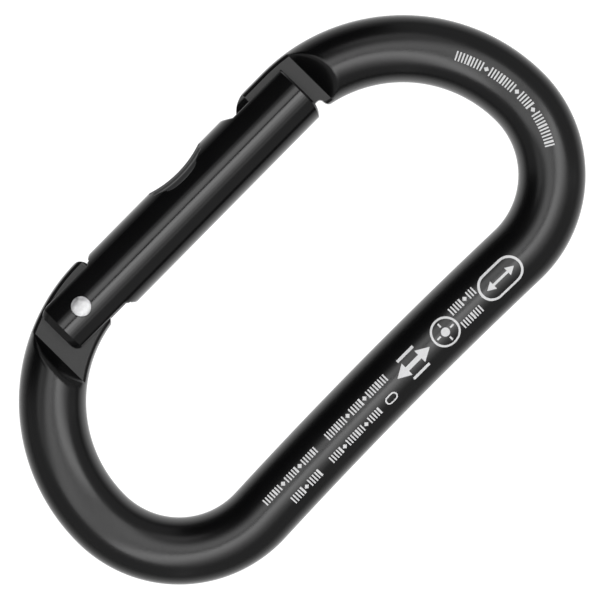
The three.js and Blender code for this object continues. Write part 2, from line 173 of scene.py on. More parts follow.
world = bpy.data.worlds.new("dark_studio")
scene.world = world
world.use_nodes = True
world.node_tree.nodes["Background"].inputs["Color"].default_value = DARK_ROOM
scene.view_settings.view_transform = "Standard"

# %% [markdown]
# ## A small language for materials
# A shader is a graph of nodes, but a formula is easier to read than a graph. The class below wraps
# one output of a node, so that ordinary arithmetic on it adds Math nodes, and its `node` method
# adds any other node: its settings first, then the values or links of its sockets.


# %% Shader values
class Wire:
    """One output of a shader node, in the material that it belongs to."""

    def __init__(self, tree, socket=None):
        self.tree = tree
        self.socket = socket

    def node(self, kind, settings=None, output=0, **sockets):
        made = self.tree.nodes.new("ShaderNode" + kind)
        for name, value in (settings or {}).items():
            if name == "stops":
                set_stops(made.color_ramp, value)
            else:
                setattr(made, name, value)
        for name, value in sockets.items():
            place = int(name[1:]) if name[0] == "_" else name.replace("_", " ")
            self.feed(made.inputs[place], value)
        return Wire(self.tree, made.outputs[output])

    def feed(self, target, value):
        if isinstance(value, Wire):
            self.tree.links.new(value.socket, target)
        else:
            target.default_value = value

    def math(self, operation, *values):
        places = {f"_{index}": value for index, value in enumerate(values)}
        return self.node("Math", {"operation": operation}, **places)

    def __add__(self, other):
        return self.math("ADD", self, other)

    def __radd__(self, other):
        return self.math("ADD", other, self)

    def __sub__(self, other):
        return self.math("SUBTRACT", self, other)

    def __mul__(self, other):
        return self.math("MULTIPLY", self, other)

    def __truediv__(self, other):
        return self.math("DIVIDE", self, other)


def set_stops(ramp, stops):
    """Sets a colour ramp from (position, grey) pairs."""
    while len(ramp.elements) < len(stops):
        ramp.elements.new(1)
    for element, (position, grey) in zip(ramp.elements, stops):
        element.position = position
        element.color = (grey, grey, grey, 1)


# %% [markdown]
# Each finish starts from the same few things: grain that is the same size all over the piece, and
# slow clouds that keep a large surface from looking like flat paint. Both read Object coordinates,
# in metres, so a pattern has its real size and stays on the piece when the gate swings.


# %% Starting a finish
def new_finish(name, constants):
    """A material with a Principled shader, whose constant values are set on its own sockets."""
    material = bpy.data.materials.new(name)
    material.use_nodes = True
    shader = material.node_tree.nodes["Principled BSDF"]
    for socket, value in constants.items():
        shader.inputs[socket].default_value = value
    canvas = Wire(material.node_tree)
    canvas.place = canvas.node("TexCoord", output="Object")
    print("finish:", name)
    return material, shader, canvas


def dress(canvas, shader, base, roughness, surface):
    """Feeds the three sockets that vary over a surface."""
    canvas.feed(shader.inputs["Base Color"], base)
    canvas.feed(shader.inputs["Roughness"], roughness)
    canvas.feed(shader.inputs["Normal"], surface)


def grain(canvas, size, detail=2.0, stretch=(1, 1, 1)):
    """Noise whose spots are about size millimetres across, from 0 to 1."""
    scale = [1 / (size * MM * share) for share in stretch]
    place = canvas.node("Mapping", Vector=canvas.place, Scale=scale)
    return canvas.node("TexNoise", Vector=place, Scale=1.0, Detail=detail)


def tint(canvas, share, dark, light):
    """A colour between two greys, by a share from 0 to 1. Each grey is (red and green, blue)."""
    dark, light = [(grey, grey, blue, 1) for grey, blue in (dark, light)]
    return canvas.node("Mix", {"data_type": "RGBA"}, output=2, _0=share, _6=dark, _7=light)


def relief(canvas, height, depth):
    """Surface relief for the Normal socket. The height runs from 0 to 1 over depth millimetres."""
    return canvas.node("Bump", Height=height, Distance=depth * MM, Strength=1.0)


# %% [markdown]
# ## Finishes
# The bar is tumbled or blasted before it is anodised black, which leaves an even, very fine grain
# and a soft, wide highlight. The dye is not perfectly even, so the grey drifts a little, and the
# grain has its own small changes in gloss.


# %% Blasted black on the bar
def blasted_black():
    material, shader, canvas = new_finish("blasted_black", {"IOR": 1.5, "Metallic": 0.0})
    fine = grain(canvas, 0.14, detail=3.0)
    coarse = grain(canvas, 0.5)
    clouds = grain(canvas, 9.0)
    shade = canvas.math("MINIMUM", fine * 0.6 + clouds * 0.5, 1.0)
    base = tint(canvas, shade, (0.0008, 0.0009), (0.003, 0.0032))
    roughness = 0.205 + fine * 0.05 + clouds * 0.03
    dress(canvas, shader, base, roughness, relief(canvas, fine * 0.75 + coarse * 0.25, 0.006))
    return material


BLASTED_BLACK = blasted_black()

# %% [markdown]
# The flats on the nose and the lug are milled after the bar is bent, so they keep the fine, curved
# tracks of the cutter under the black. Rings of the Wave texture, centred far off to the side of
# the bar, give tracks with a long radius.


# %% Milled black on the flats
def milled_black():
    material, shader, canvas = new_finish("milled_black", {"IOR": 1.45, "Metallic": 0.0})
    far_side = canvas.node("Mapping", Vector=canvas.place, Location=(0.055, 0.0, 0.0))
    tracks = canvas.node(
        "TexWave",
        {"wave_type": "RINGS", "rings_direction": "Z"},
        output="Fac",
        Vector=far_side,
        Scale=520.0,
        Distortion=1.2,
        Detail=2.0,
    )
    fine = grain(canvas, 0.16, detail=3.0)
    base = tint(canvas, fine, (0.001, 0.0011), (0.0032, 0.0034))
    roughness = 0.27 + tracks * 0.05 + fine * 0.05
    dress(canvas, shader, base, roughness, relief(canvas, tracks * 0.6 + fine * 0.4, 0.0035))
    return material


MILLED_BLACK = milled_black()

# %% [markdown]
# The gate is drawn and polished bar, so its black is smoother: the strip of light on it has clear
# edges. Drawing leaves faint lines along the gate, which are noise stretched in that direction.


# %% Satin black on the gate
def satin_black():
    material, shader, canvas = new_finish("satin_black", {"IOR": 1.5, "Metallic": 0.0})
    drawn = grain(canvas, 0.22, detail=2.0, stretch=(1, 40, 1))
    fine = grain(canvas, 0.12, detail=2.0)
    clouds = grain(canvas, 7.0)
    base = tint(canvas, clouds, (0.0026, 0.0027), (0.0046, 0.0048))
    roughness = 0.105 + drawn * 0.04 + clouds * 0.02
    dress(canvas, shader, base, roughness, relief(canvas, drawn * 0.6 + fine * 0.4, 0.0022))
    return material


SATIN_BLACK = satin_black()

# %% [markdown]
# The hollow for the thumb is pressed, not polished, so it keeps a matt and slightly paler black
# that feels different under the thumb.


# %% Matt black in the thumb hollow
def matt_black():
    material, shader, canvas = new_finish("matt_black", {"IOR": 1.35, "Metallic": 0.0})
    fine = grain(canvas, 0.1, detail=3.0)
    worn = grain(canvas, 1.3, detail=2.0, stretch=(1, 3, 1))
    shade = fine * 0.5 + worn * 0.5
    base = tint(canvas, shade, (0.012, 0.013), (0.05, 0.052))
    dress(canvas, shader, base, 0.36 + fine * 0.14, relief(canvas, fine, 0.008))
    return material


MATT_BLACK = matt_black()

# %% [markdown]
# The steel parts are bare metal. A rivet is spun over with a punch, which leaves fine circles round
# its middle, small dents, and a bright face. The wire and the turned plunger carry fine lines round
# their own axes.


# %% Bare steel
# The Wave texture repeats every pi / 10 of its own unit.
WAVE_UNIT = math.pi / 10


def bare_steel(name, grey, roughness, centre, axis_turn, ring_pitch, dents):
    """Steel with rings round an axis through centre. Pitch and dents are in millimetres."""
    material, shader, canvas = new_finish(name, {"Metallic": 1.0})
    middle = [place * MM for place in centre]
    as_texture = {"vector_type": "TEXTURE"}
    placed = canvas.node(
        "Mapping", as_texture, Vector=canvas.place, Location=middle, Rotation=axis_turn
    )
    rings = canvas.node(
        "TexWave",
        {"wave_type": "RINGS", "rings_direction": "Z"},
        output="Fac",
        Vector=placed,
        Scale=WAVE_UNIT / (ring_pitch * MM),
        Distortion=0.8,
        Detail=1.5,
    )
    blotches = grain(canvas, dents, detail=3.0)
    base = tint(canvas, blotches, (grey * 0.78, grey * 0.79), (grey * 1.08, grey * 1.09))
    gloss = roughness + blotches * 0.12 + rings * 0.05
    dress(canvas, shader, base, gloss, relief(canvas, rings * 0.25 + blotches * 0.75, 0.012))
    return material


RIVET_STEEL = bare_steel("rivet_steel", 0.46, 0.34, (PIVOT_X, PIVOT_Y, 0), (0, 0, 0), 0.16, 0.45)

# %% [markdown]
# A laser bleaches the black dye to mark the bar. The mark is pale, dead matt and very thin, with a
# fine speckle where the beam's dots overlap.


# %% Laser marking
def laser_pale():
    material, shader, canvas = new_finish("laser_pale", {"IOR": 1.4, "Metallic": 0.0})
    speckle = grain(canvas, 0.09, detail=2.0)
    base = tint(canvas, speckle, (0.42, 0.425), (0.74, 0.745))
    dress(canvas, shader, base, 0.6 + speckle * 0.2, relief(canvas, speckle, 0.004))
    return material


LASER_PALE = laser_pale()

# %% [markdown]
# ## The table
# Small products are often shot on a clear sheet held above a glowing white table, so that they cast
# no shadow on it. The table here is some way below the carabiner. Its glow is even under the
# carabiner and fades further out, so the metal mirrors white only at its very rim. It is part of
# the stage and isn't part of the object.

# %% Floor
TABLE_DROP = 0.07
TABLE_HALF = 2.5
GLOW_EVEN_TO = 0.085
GLOW_FADES_TO = 0.42
GLOW_STOPS = [(0, 1.0), (0.06, 0.85), (0.28, 0.5), (1, 0.1)]


def make_floor():
    floor_bm = bmesh.new()
    level = Matrix.Translation((0, 0, -TABLE_DROP))
    bmesh.ops.create_grid(floor_bm, x_segments=4, y_segments=4, size=TABLE_HALF, matrix=level)
    mesh = bpy.data.meshes.new("floor")
    floor_bm.to_mesh(mesh)
    floor_bm.free()
    floor = bpy.data.objects.new("floor", mesh)
    scene.collection.objects.link(floor)
    constants = {"Base Color": (0.12, 0.12, 0.12, 1), "Roughness": 0.8, "Specular IOR Level": 0.1}
    material, shader, canvas = new_finish("pale_table", constants)
    out = canvas.node("VectorMath", {"operation": "LENGTH"}, output="Value", _0=canvas.place)
    near = math.hypot(GLOW_EVEN_TO, TABLE_DROP)
    far = math.hypot(GLOW_FADES_TO, TABLE_DROP)
    share = (out - near) / (far - near)
    glow = canvas.node("ValToRGB", {"stops": GLOW_STOPS}, output="Color", Fac=share)
    canvas.feed(shader.inputs["Emission Color"], glow)
    shader.inputs["Emission Strength"].default_value = 1.0
    mesh.materials.append(material)
    print(f"table {TABLE_DROP / MM:.0f} mm below the carabiner")


make_floor()

# %% [markdown]
# ## Drawing, sweeping and cutting
# All the pieces are made the way metal is worked. A ring of points is pulled along a path to give
# bar, an outline is drawn and lifted to give a flat cutter, and cutters are taken out of the bar.
# The pen below draws an outline edge by edge: extruding a point draws a line, and spinning it
# draws an arc.


# %% A pen for outlines
class Pen:
    """Draws one closed outline in the plane z = 0 and lifts it into a plate."""

    def __init__(self, x, y):
        self.bm = bmesh.new()
        self.start = bmesh.ops.create_vert(self.bm, co=(x, y, 0))["vert"][0]
        self.at = self.start

    def line(self, x, y):
        self.at = bmesh.ops.extrude_vert_indiv(self.bm, verts=[self.at])["verts"][0]
        self.at.co = (x, y, 0)
        return self

    def through(self, *points):
        for x, y in points:
            self.line(x, y)
        return self

    def arc(self, x, y, degrees, steps):
        """An arc about (x, y), to the left for positive degrees."""
        made = bmesh.ops.spin(
            self.bm,
            geom=[self.at],
            cent=(x, y, 0),
            axis=(0, 0, 1),
            dvec=(0, 0, 0),
            angle=math.radians(degrees),
            steps=steps,
        )
        self.at = next(part for part in made["geom_last"] if isinstance(part, bmesh.types.BMVert))
        return self

    def close(self):
        bmesh.ops.contextual_create(self.bm, geom=[self.start, self.at])
        bmesh.ops.contextual_create(self.bm, geom=self.bm.edges[:])
        return self

    def plate(self, low, high):
        self.close()
        bmesh.ops.translate(self.bm, verts=self.bm.verts[:], vec=(0, 0, low))
        made = bmesh.ops.extrude_face_region(self.bm, geom=self.bm.faces[:])
        lifted = [part for part in made["geom"] if isinstance(part, bmesh.types.BMVert)]
        bmesh.ops.translate(self.bm, verts=lifted, vec=(0, 0, high - low))
        bmesh.ops.recalc_face_normals(self.bm, faces=self.bm.faces[:])
        return self.bm


# %% [markdown]
# The bar starts as one ring. Its points are shifted slightly round the ring so that one row lies
# exactly at the height of the milled face, where the finished bar has an edge.

# %% Rings and runs
BAR_POINTS = 128


def bar_ring(bm, x, y, radius, row_height):
    """One ring across a bar that runs along y, with a row of points at row_height."""
    upright = Matrix.Translation((x, y, 0)) @ Matrix.Rotation(math.pi / 2, 4, "X")
    made = bmesh.ops.create_circle(bm, segments=BAR_POINTS, radius=radius, matrix=upright)
    row_angle = math.pi / 8
    shift = math.asin(row_height / radius) - row_angle
    for vert in made["verts"]:
        angle = math.atan2(vert.co.z, vert.co.x - x)
        angle += shift * math.sin(4 * angle)
        vert.co.x = x + radius * math.cos(angle)
        vert.co.z = radius * math.sin(angle)
    return bm.edges[:]


def end_ring(parts):
    return [part for part in parts if isinstance(part, bmesh.types.BMEdge)]


def pull_straight(bm, ring, distance, steps):
    """Pulls a ring along y and returns the ring at the far end."""
    for _ in range(steps):
        made = bmesh.ops.extrude_edge_only(bm, edges=ring)["geom"]
        fresh = [part for part in made if isinstance(part, bmesh.types.BMVert)]
        bmesh.ops.translate(bm, verts=fresh, vec=(0, distance / steps, 0))
        known = set(fresh)
        ring = [edge for edge in end_ring(made) if known.issuperset(edge.verts)]
    return ring


def pull_round(bm, ring, centre, radians, steps):
    """Swings a ring about a vertical axis and returns the ring at the far end."""
    made = bmesh.ops.spin(
        bm,
        geom=ring + list({vert for edge in ring for vert in edge.verts}),
        cent=(centre[0], centre[1], 0),
        axis=(0, 0, 1),
        dvec=(0, 0, 0),
        angle=radians,
        steps=steps,
    )
    return end_ring(made["geom_last"])


# %% [markdown]
# A finished bmesh becomes an object in three steps: it is scaled and lifted into the frame, its
# faces are smoothed except across real edges, and it is told which body it rides on and which
# finish slots it has. The packed node that it replaces is hidden.

# %% Finishing a piece
SHARP = math.radians(19)


def into_frame(bm):
    bmesh.ops.scale(bm, vec=(MM, MM, MM), verts=bm.verts[:])
    bmesh.ops.translate(bm, vec=(0, 0, MID_Z * MM), verts=bm.verts[:])


def soften(bm):
    """Smooth faces, with sharp edges where the surface turns by more than SHARP."""
    for face in bm.faces:
        face.smooth = True
    for edge in bm.edges:
        edge.smooth = len(edge.link_faces) == 2 and edge.calc_face_angle(0) < SHARP


def finish_piece(bm, name, body, materials, node=None):
    soften(bm)
    into_frame(bm)
    mesh = bpy.data.meshes.new(name)
    bm.to_mesh(mesh)
    bm.free()
    for material in materials:
        mesh.materials.append(material)
    piece = bpy.data.objects.new(name, mesh)
    scene.collection.objects.link(piece)
    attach(piece, body)
    if node:
        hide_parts(node)
    triangles = sum(len(face.vertices) - 2 for face in mesh.polygons)
    print(f"{name}: {triangles} triangles")
    return piece


# %% [markdown]
# Cutters are taken out with the exact Boolean, which leaves clean straight edges. The modifier
# works on objects, so bar and cutter become objects for a moment, and the result comes back as a
# bmesh. Points that the cut leaves in the same place are merged, and small faces with many corners
# are split into triangles.


# %% Cutting
SAME_PLACE = 0.0005
MOST_CORNERS = 8


def split_small_faces(bm):
    """Splits cut faces into well-shaped triangles, so that none of them lies on its neighbour."""
    small = [face for face in bm.faces if 4 < len(face.verts) <= MOST_CORNERS]
    bmesh.ops.triangulate(bm, faces=small, quad_method="BEAUTY", ngon_method="BEAUTY")
    print(f"cut faces split: {len(small)}")


def carve(bm, *cutters):
    """Takes the cutters out of a solid, one after the other, and returns what is left."""
    for cutter in cutters:
        blank_mesh = bpy.data.meshes.new("blank")
        tool_mesh = bpy.data.meshes.new("tool")
        bm.to_mesh(blank_mesh)
        cutter.to_mesh(tool_mesh)
        bm.free()
        cutter.free()
        blank = bpy.data.objects.new("blank", blank_mesh)
        tool = bpy.data.objects.new("tool", tool_mesh)
        scene.collection.objects.link(blank)
        scene.collection.objects.link(tool)
        cut = blank.modifiers.new("cut", "BOOLEAN")
        cut.object = tool
        cut.operation = "DIFFERENCE"
        cut.solver = "EXACT"
        shape = blank.evaluated_get(bpy.context.evaluated_depsgraph_get())
        bm = bmesh.new()
        bm.from_mesh(shape.to_mesh())
        shape.to_mesh_clear()
        for thing in (blank, tool):
            mesh = thing.data
            bpy.data.objects.remove(thing)
            bpy.data.meshes.remove(mesh)
    bmesh.ops.remove_doubles(bm, verts=bm.verts[:], dist=SAME_PLACE)
    bmesh.ops.dissolve_degenerate(bm, edges=bm.edges[:], dist=SAME_PLACE)
    split_small_faces(bm)
    return bm


def together(*plates):
    """Puts cutters that don't touch each other into one bmesh."""
    joined = bmesh.new()
    for plate in plates:
        mesh = bpy.data.meshes.new("plate")
        plate.to_mesh(mesh)
        plate.free()
        joined.from_mesh(mesh)
        bpy.data.meshes.remove(mesh)
    return joined


# %% [markdown]
# Two small formulas shape the surfaces that follow: the smaller of two heights with the corner
# between them rounded off, and a smooth step.


# %% Soft limits
def soft_min(value, limit, round_off):
    """The smaller of two numbers, with the corner between them rounded off."""
    if round_off <= 0:
        return min(value, limit)
    overlap = max(round_off - abs(value - limit), 0) / round_off
    return min(value, limit) - overlap * overlap * round_off / 4


def ease(value):
    """0 below 0, 1 above 1, and a smooth step between them."""
    share = min(max(value, 0), 1)
    return share * share * (3 - 2 * share)


# %% [markdown]
# ## The bar
# The real bar is cut to length, bent round formers, and then milled flat on both faces at its two
# ends. Here one ring is pulled along the same path: down from the lug, round the wide bend, round
# the tight bend, up the slightly bowed spine, and back to the nose. The rings stand close together
# where the mill will work and further apart elsewhere.

# %% The bar's path
SPINE_BEND_R = 18
SPINE_BOW_ANGLE = 0.03606
BAR_X = OUTER_X + BAR_R
BEND_X = -BAR_X - SPINE_BEND_R
GATE_BEND_R = BEND_X - BAR_X
GATE_BEND_Y = LENGTH / 2 - BAR_R - GATE_BEND_R
SPINE_BEND_Y = LENGTH / 2 - BAR_R - SPINE_BEND_R
SPINE_BOW_R = SPINE_BEND_Y / math.sin(SPINE_BOW_ANGLE) - SPINE_BEND_R
LUG_TOP_Y = PIVOT_Y + 5.5
LUG_SHOULDER_Y = PIVOT_Y - 8.5
NOSE_TIP_Y = 13.55
NOSE_SHOULDER_Y = 26.66
HEAD_STEP_Y = 16.8
HEAD_STEP_WIDTH = 0.12
FLAT_Z = 2.2


def bend_angle(y):
    """How far round the gate-side bend the bar's centreline has gone at a height y."""
    return math.asin(max(0, abs(y) - GATE_BEND_Y) / GATE_BEND_R)


LUG_ZONE = math.radians(35.8)
NOSE_ZONE = math.radians(21.7)


def swept_bar():
    bm = bmesh.new()
    first = bar_ring(bm, BAR_X, LUG_TOP_Y, BAR_R, FLAT_Z)
    gate_bend = (BEND_X, GATE_BEND_Y)
    lug_angle = bend_angle(LUG_SHOULDER_Y)
    nose_angle = bend_angle(NOSE_SHOULDER_Y)
    quarter = math.pi / 2
    ring = pull_straight(bm, first, -GATE_BEND_Y - LUG_TOP_Y, 4)
    ring = pull_round(bm, ring, (BEND_X, -GATE_BEND_Y), lug_angle, 48)
    ring = pull_round(bm, ring, (BEND_X, -GATE_BEND_Y), LUG_ZONE - lug_angle, 20)
    ring = pull_round(bm, ring, (BEND_X, -GATE_BEND_Y), quarter - LUG_ZONE, 28)
    ring = pull_round(bm, ring, (BEND_X, -SPINE_BEND_Y), quarter + SPINE_BOW_ANGLE, 44)
    bow_x = BEND_X + (SPINE_BOW_R + SPINE_BEND_R) * math.cos(SPINE_BOW_ANGLE)
    ring = pull_round(bm, ring, (bow_x, 0), -2 * SPINE_BOW_ANGLE, 30)
    ring = pull_round(bm, ring, (BEND_X, SPINE_BEND_Y), quarter + SPINE_BOW_ANGLE, 44)
    ring = pull_round(bm, ring, gate_bend, quarter - NOSE_ZONE, 36)
    ring = pull_round(bm, ring, gate_bend, NOSE_ZONE - nose_angle, 26)
    ring = pull_round(bm, ring, gate_bend, nose_angle, 18)
    half_step = HEAD_STEP_WIDTH / 2
    ring = pull_straight(bm, ring, HEAD_STEP_Y + half_step - GATE_BEND_Y, 16)
    ring = pull_straight(bm, ring, -HEAD_STEP_WIDTH, 1)
    ring = pull_straight(bm, ring, NOSE_TIP_Y + 0.8 - HEAD_STEP_Y + half_step, 9)
    ring = pull_straight(bm, ring, -0.8, 5)
    for rim in (first, ring):
        bmesh.ops.contextual_create(bm, geom=rim)
    bmesh.ops.recalc_face_normals(bm, faces=bm.faces[:])
    return bm


bar = swept_bar()
print(f"swept bar: {len(bar.faces)} faces")

# %% [markdown]
# A mill leaves its edges straight across the bar, but the rings in the bend lean over. So each
# point there first slides round the bend until its row lies straight across. Past the milled zone
# the slide fades out again.


# %% Rows straight across the bend
def straighten_rows(bm):
    for vert in bm.verts:
        side = math.copysign(1, vert.co.y)
        zone = NOSE_ZONE if side > 0 else LUG_ZONE
        across = BEND_X - vert.co.x
        up = abs(vert.co.y) - GATE_BEND_Y
        if across <= 0 or up <= 0:
            continue
        reach = math.hypot(across, up)
        angle = math.atan2(up, across)
        inside = min(angle, zone)
        slide = math.asin(GATE_BEND_R * math.sin(inside) / reach) - inside
        fade = 1 - ease((angle - zone) / (math.pi / 2 - zone))
        angle += slide * fade
        vert.co.x = BEND_X - reach * math.cos(angle)
        vert.co.y = side * (GATE_BEND_Y + reach * math.sin(angle))


straighten_rows(bar)

# %% [markdown]
# Now the mill's path: how high the bar may stand at each place along it. The flat is level, and
# at the shoulder a steep slope leads up to the full bar, where the edge is rounded by tumbling. The
# hooked head of the nose is left thicker than its neck, and a slope runs along its outer edge.
# The long edges of the flats are filed off, so that no sharp corner can cut a sling.

# %% Milling both faces
LUG_WALL_SLOPE = 1.7
NOSE_WALL_SLOPE = 1.0
LUG_WALL_ROUND = 1.5
NOSE_WALL_ROUND = 0.55
HEAD_Z = 2.85
HEAD_TIP_BEVEL = 0.8
HEAD_EDGE = (1.7, 1.5)
EDGE_FROM = 4.75
EDGE_SLOPE = 0.95
LUG_TOP_EDGE = 0.3
ROUND_FULL_AT = 2.2
EDGE_GONE_AT = 0.8


def off_centreline(x, y):
    """Distance from the bar's centreline on the gate side, seen from above."""
    up = abs(y) - GATE_BEND_Y
    if up <= 0:
        return abs(x - BAR_X)
    return abs(math.hypot(BEND_X - x, up) - GATE_BEND_R)


def mill_height(x, y):
    """Height of the milled surface above the middle plane, and how far its top is rounded."""
    if y < 0:
        height = FLAT_Z + max(0, LUG_SHOULDER_Y - y) * LUG_WALL_SLOPE
        height -= max(0, y - LUG_TOP_Y + LUG_TOP_EDGE)
    elif y > HEAD_STEP_Y:
        height = FLAT_Z + max(0, y - NOSE_SHOULDER_Y) * NOSE_WALL_SLOPE
    else:
        height = min(HEAD_Z, HEAD_Z - HEAD_TIP_BEVEL + (y - NOSE_TIP_Y))
        across, down = HEAD_EDGE
        height = min(height, HEAD_Z - down + (x - OUTER_X) * down / across)
    if abs(y) <= HEAD_STEP_Y:
        return height, 0
    wall_round = LUG_WALL_ROUND if y < 0 else NOSE_WALL_ROUND
    return height, wall_round * ease((height - FLAT_Z) / ROUND_FULL_AT)


def mill_faces(bm):
    for vert in bm.verts:
        if vert.co.x > BEND_X:
            continue
        height, round_off = mill_height(vert.co.x, vert.co.y)
        past_edge = off_centreline(vert.co.x, vert.co.y) - EDGE_FROM
        if past_edge > 0:
            height -= past_edge * EDGE_SLOPE * (1 - ease((height - FLAT_Z) / EDGE_GONE_AT))
        lowered = soft_min(abs(vert.co.z), height, round_off)
        vert.co.z = math.copysign(max(lowered, 0), vert.co.z)


mill_faces(bar)

# %% [markdown]
# What is left is cut straight through the bar: the neck's inner edge, the round of the tip, the
# corner of the lug, the rivet's bore, and the notch with the cam face that the plunger bears on.
# The cam face is an involute about the rivet, drawn point by point from its formula, so that the
# plunger rises in step with the gate's swing.

# %% Cuts through the bar
NECK_INNER_X = GATE_X + 3.5
NECK_FLOOR_Y = 25.4
SMALL_CORNER = 0.7
NECK_ROUND = 1.2
TIP_R = 5
TIP_SINK = 0.8
LUG_CORNER_R = 1.7
BORE_R = 1.5
PLUNGER_OFFSET = 1.8
CAM_START = 3.2
CAM_SWEEP = 0.78
CAM_SEAT = 1.4
MARGIN = 1
THROUGH = BAR_R + MARGIN


def neck_cutter():
    edge, corner = NECK_INNER_X, SMALL_CORNER
    below = NOSE_TIP_Y - MARGIN
    pen = Pen(edge - corner, below)
    pen.line(edge - corner, NOSE_TIP_Y)
    pen.arc(edge - corner, NOSE_TIP_Y + corner, 90, 10)
    pen.line(edge, NECK_FLOOR_Y - corner)
    pen.arc(edge + corner, NECK_FLOOR_Y - corner, -90, 10)
    top = NECK_FLOOR_Y + NECK_ROUND
    bar_side = BEND_X - math.sqrt((GATE_BEND_R - BAR_R) ** 2 - (top - GATE_BEND_Y) ** 2)
    pen.line(bar_side - NECK_ROUND, NECK_FLOOR_Y)
    pen.arc(bar_side - NECK_ROUND, top, 90, 14)
    pen.through((edge + 2 * BAR_R, top), (edge + 2 * BAR_R, below))
    return pen.plate(-THROUGH, THROUGH)


def tip_cutter():
    foot = NOSE_TIP_Y - TIP_SINK
    round_x = OUTER_X + TIP_R
    pen = Pen(OUTER_X - MARGIN, foot - MARGIN)
    pen.through((round_x, foot - MARGIN), (round_x, foot))
    pen.arc(round_x, foot + TIP_R, -90, 40)
    pen.line(OUTER_X - MARGIN, foot + TIP_R)
    return pen.plate(-THROUGH, THROUGH)


def lug_corner_cutter():
    round_x = OUTER_X + LUG_CORNER_R
    pen = Pen(OUTER_X - MARGIN, LUG_TOP_Y + MARGIN)
    pen.through((round_x, LUG_TOP_Y + MARGIN), (round_x, LUG_TOP_Y))
    pen.arc(round_x, LUG_TOP_Y - LUG_CORNER_R, 90, 16)
    pen.line(OUTER_X - MARGIN, LUG_TOP_Y - LUG_CORNER_R)
    return pen.plate(-THROUGH, THROUGH)


def cam_cutter():
    seat_x = PIVOT_X + PLUNGER_OFFSET
    pen = Pen(seat_x - CAM_SEAT, LUG_TOP_Y + MARGIN)
    pen.line(seat_x - CAM_SEAT, PIVOT_Y + CAM_START + CAM_SEAT)
    pen.arc(seat_x, PIVOT_Y + CAM_START + CAM_SEAT, 90, 16)
    steps = 24
    for step in range(1, steps + 1):
        swing = CAM_SWEEP * step / steps
        rise = CAM_START + PLUNGER_OFFSET * swing
        x = PLUNGER_OFFSET * math.cos(swing) + rise * math.sin(swing)
        y = rise * math.cos(swing) - PLUNGER_OFFSET * math.sin(swing)
        pen.line(PIVOT_X + x, PIVOT_Y + y)
    far_x = PIVOT_X + x + BAR_R * math.cos(CAM_SWEEP)
    far_y = PIVOT_Y + y - BAR_R * math.sin(CAM_SWEEP)
    pen.through((far_x, far_y), (far_x, LUG_TOP_Y + MARGIN))
    return pen.plate(-THROUGH, THROUGH)


def rod(x, y, radius, sides=64):
    """A round cutter along z."""
    pen = Pen(x + radius, y)
    pen.arc(x, y, 360 * (1 - 1 / sides), sides - 1)
    return pen.plate(-THROUGH, THROUGH)


bore = rod(PIVOT_X, PIVOT_Y, BORE_R)
bar = carve(bar, together(neck_cutter(), tip_cutter(), lug_corner_cutter(), cam_cutter(), bore))
print(f"cut bar: {len(bar.faces)} faces")

# %% [markdown]
# The finished bar has two finishes: milled black on the level faces at its ends, and blasted black
# everywhere else.

# %% The finished bar
LEVEL = 0.995


def mark_milled(bm):
    """Gives the level faces that the mill leaves their own finish."""
    for face in bm.faces:
        middle = face.calc_center_median()
        level = abs(face.normal.z) > LEVEL and abs(middle.z) < HEAD_Z + 0.05
        face.material_index = int(level and middle.x < BEND_X)


mark_milled(bar)
blacks = [BLASTED_BLACK, MILLED_BLACK]
finish_piece(bar, "bent_bar", "frame", blacks, "frame_bar")

# %% [markdown]
# ## Laser marks
# Climbing gear carries rows of marks along its spine and round one bend. The ones here are plain
# signs with no wording: groups of ticks with diamonds between them, rings, and arrows for the
# direction of load. All are first laid out flat on a sheet, as u along the bar and v across it.

# %% Flat signs
TICK = 0.25
THICK_TICK = 0.36
TICK_PITCH = 0.56
DIAMOND_R = 0.45
FIFTH = 5


def stroke(sheet, u, v, along, across, turn=0):
    """A straight stroke: a rectangle about (u, v), turned by some degrees."""
    place = Matrix.Translation((u, v, 0)) @ Matrix.Rotation(math.radians(turn), 4, "Z")
    place = place @ Matrix.Diagonal((along, across, 1, 1))
    bmesh.ops.create_grid(sheet, x_segments=1, y_segments=1, size=0.5, matrix=place)


def oval_ring(sheet, u, v, outer_r, width, stretch=0):
    """A ring, or with some stretch an oval like the outline of a carabiner."""
    rims = []
    for radius in (outer_r, outer_r - width):
        made = bmesh.ops.create_circle(sheet, segments=48, radius=radius)["verts"]
        for vert in made:
            vert.co.x += u + math.copysign(stretch / 2, vert.co.x)
            vert.co.y += v
        rims += list({edge for vert in made for edge in vert.link_edges})
    bmesh.ops.bridge_loops(sheet, edges=rims)


def dot(sheet, u, v, radius, sides=24, turn=0):
    place = Matrix.Translation((u, v, 0)) @ Matrix.Rotation(math.radians(turn), 4, "Z")
    bmesh.ops.create_circle(sheet, cap_ends=True, segments=sides, radius=radius, matrix=place)


def arrow(sheet, u, v, length, width, head):
    """A double-headed arrow along the bar. Each head is a triangle with equal sides."""
    tip, wing, half = length / 2, head * math.sqrt(0.75), width / 2
    neck = tip - 1.5 * head
    upper = [(neck, half), (neck, wing), (tip, 0)]
    upper = [(-x, y) for x, y in reversed(upper)] + upper
    lower = [(x, -y) for x, y in reversed(upper[1:-1])]
    pen = Pen(u + upper[0][0], v + upper[0][1])
    for x, y in upper[1:] + lower:
        pen.line(u + x, v + y)
    pen.close()
    mesh = bpy.data.meshes.new("arrow")
    pen.bm.to_mesh(mesh)
    pen.bm.free()
    sheet.from_mesh(mesh)
    bpy.data.meshes.remove(mesh)


